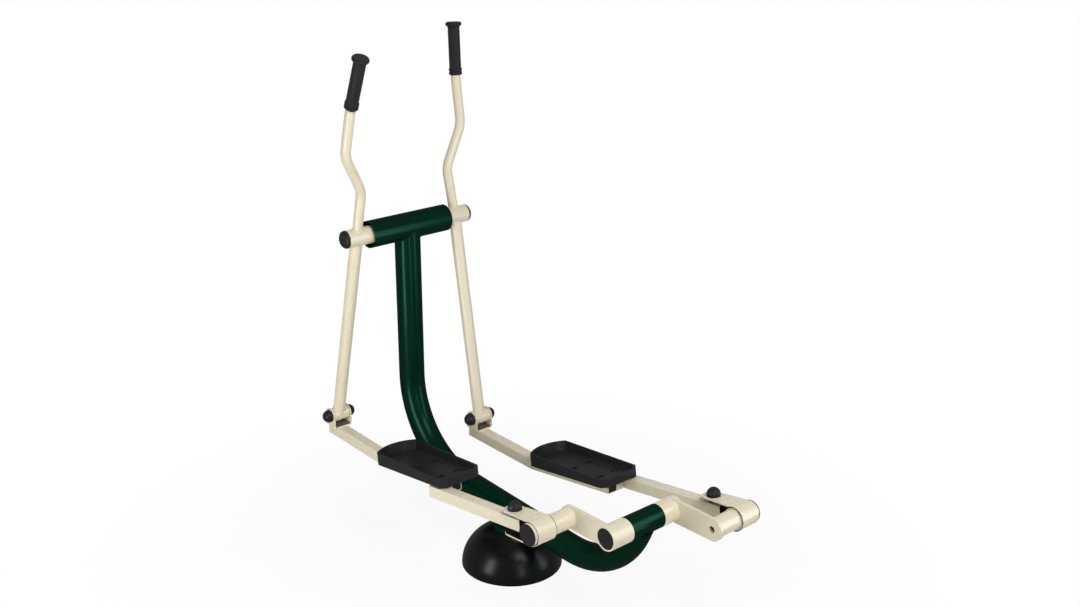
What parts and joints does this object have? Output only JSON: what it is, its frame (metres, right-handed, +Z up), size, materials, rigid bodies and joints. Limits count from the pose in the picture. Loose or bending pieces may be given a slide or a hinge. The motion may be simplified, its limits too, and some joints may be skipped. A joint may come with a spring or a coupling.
{
  "type": "outdoor cross trainer",
  "caption": "Outdoor elliptical exercise machine on a single bent post: swinging hand levers drive foot bars with tray pedals round a rear crank.",
  "frame": {"origin": "on the ground, at the centre of the anchor bolt circle under the base post", "axes": "+Z up, +Y forward (the way the user faces), +X to the user's right"},
  "size_m": [0.6438, 1.5709, 1.7078],
  "materials": {
    "frame_paint": "glossy dark green powder coat",
    "arm_paint": "satin ivory powder coat",
    "grip_rubber": "matt black",
    "pedal_plastic": "grained black",
    "cap_plastic": "semi-matt black",
    "cover_plastic": "glossy black",
    "steel": "zinc-plated steel",
    "bronze": "plain sintered bronze"
  },
  "bodies": {
    "frame": {"axle_seats": "frame_paint", "base_cover": "cover_plastic", "base_flange": "frame_paint", "base_post": "frame_paint", "crank_bearings": "steel", "crank_housing": "frame_paint", "cross_tube": "frame_paint", "lever_axle": "steel", "main_tube": "frame_paint"},
    "crank": {"crank_caps": "cap_plastic", "crank_shaft": "steel", "left_crank_arm": "arm_paint", "left_crank_hub": "arm_paint", "pin_spacers": "arm_paint", "right_crank_arm": "arm_paint", "right_crank_hub": "arm_paint"},
    "left_lever": {"left_grip": "grip_rubber", "left_handle": "arm_paint", "left_hub_bearings": "steel", "left_hub_plug": "cap_plastic", "left_lever_hub": "arm_paint", "left_lower_arm": "arm_paint", "left_pivot_bushes": "bronze", "left_pivot_hub": "arm_paint"},
    "right_lever": {"right_grip": "grip_rubber", "right_handle": "arm_paint", "right_hub_bearings": "steel", "right_hub_plug": "cap_plastic", "right_lever_hub": "arm_paint", "right_lower_arm": "arm_paint", "right_pivot_bushes": "bronze", "right_pivot_hub": "arm_paint"},
    "left_foot_bar": {"left_bolt_caps": "cap_plastic", "left_clevis": "arm_paint", "left_end_plugs": "cap_plastic", "left_front_bar": "arm_paint", "left_pedal": "pedal_plastic", "left_pedal_bolts": "steel", "left_pedal_plate": "arm_paint", "left_pin_axle": "steel", "left_pin_bearings": "steel", "left_pin_sleeve": "arm_paint", "left_pivot_bolt": "steel", "left_rear_bar": "arm_paint", "left_strap": "arm_paint", "left_strap_bolt": "steel"},
    "right_foot_bar": {"right_bolt_caps": "cap_plastic", "right_clevis": "arm_paint", "right_end_plugs": "cap_plastic", "right_front_bar": "arm_paint", "right_pedal": "pedal_plastic", "right_pedal_bolts": "steel", "right_pedal_plate": "arm_paint", "right_pin_axle": "steel", "right_pin_bearings": "steel", "right_pin_sleeve": "arm_paint", "right_pivot_bolt": "steel", "right_rear_bar": "arm_paint", "right_strap": "arm_paint", "right_strap_bolt": "steel"}
  },
  "joints": [
    {"name": "crank_turn", "type": "hinge", "parent": "frame", "child": "crank", "pos_m": [0, -0.595, 0.3845], "axis": [1, 0, 0], "range_deg": [0, 180]},
    {"name": "left_lever_swing", "type": "hinge", "parent": "frame", "child": "left_lever", "pos_m": [0, 0.539, 1.057], "axis": [1, 0, 0], "range_deg": [-26.52, 0]},
    {"name": "left_foot_bar_pivot", "type": "hinge", "parent": "left_lever", "child": "left_foot_bar", "pos_m": [0, 0.73259, 0.35366], "axis": [1, 0, 0], "range_deg": [0, 25.91]},
    {"name": "right_lever_swing", "type": "hinge", "parent": "frame", "child": "right_lever", "pos_m": [0, 0.539, 1.057], "axis": [1, 0, 0], "range_deg": [0, 26.52]},
    {"name": "right_foot_bar_pivot", "type": "hinge", "parent": "right_lever", "child": "right_foot_bar", "pos_m": [0, 0.39819, 0.34122], "axis": [1, 0, 0], "range_deg": [-25.91, 0]}
  ],
  "couplings": [
    {"joint": "left_lever_swing", "follows": "crank_turn", "ratio": -0.14732},
    {"joint": "left_foot_bar_pivot", "follows": "crank_turn", "ratio": 0.14391},
    {"joint": "right_lever_swing", "follows": "crank_turn", "ratio": 0.14732},
    {"joint": "right_foot_bar_pivot", "follows": "crank_turn", "ratio": -0.14391}
  ]
}
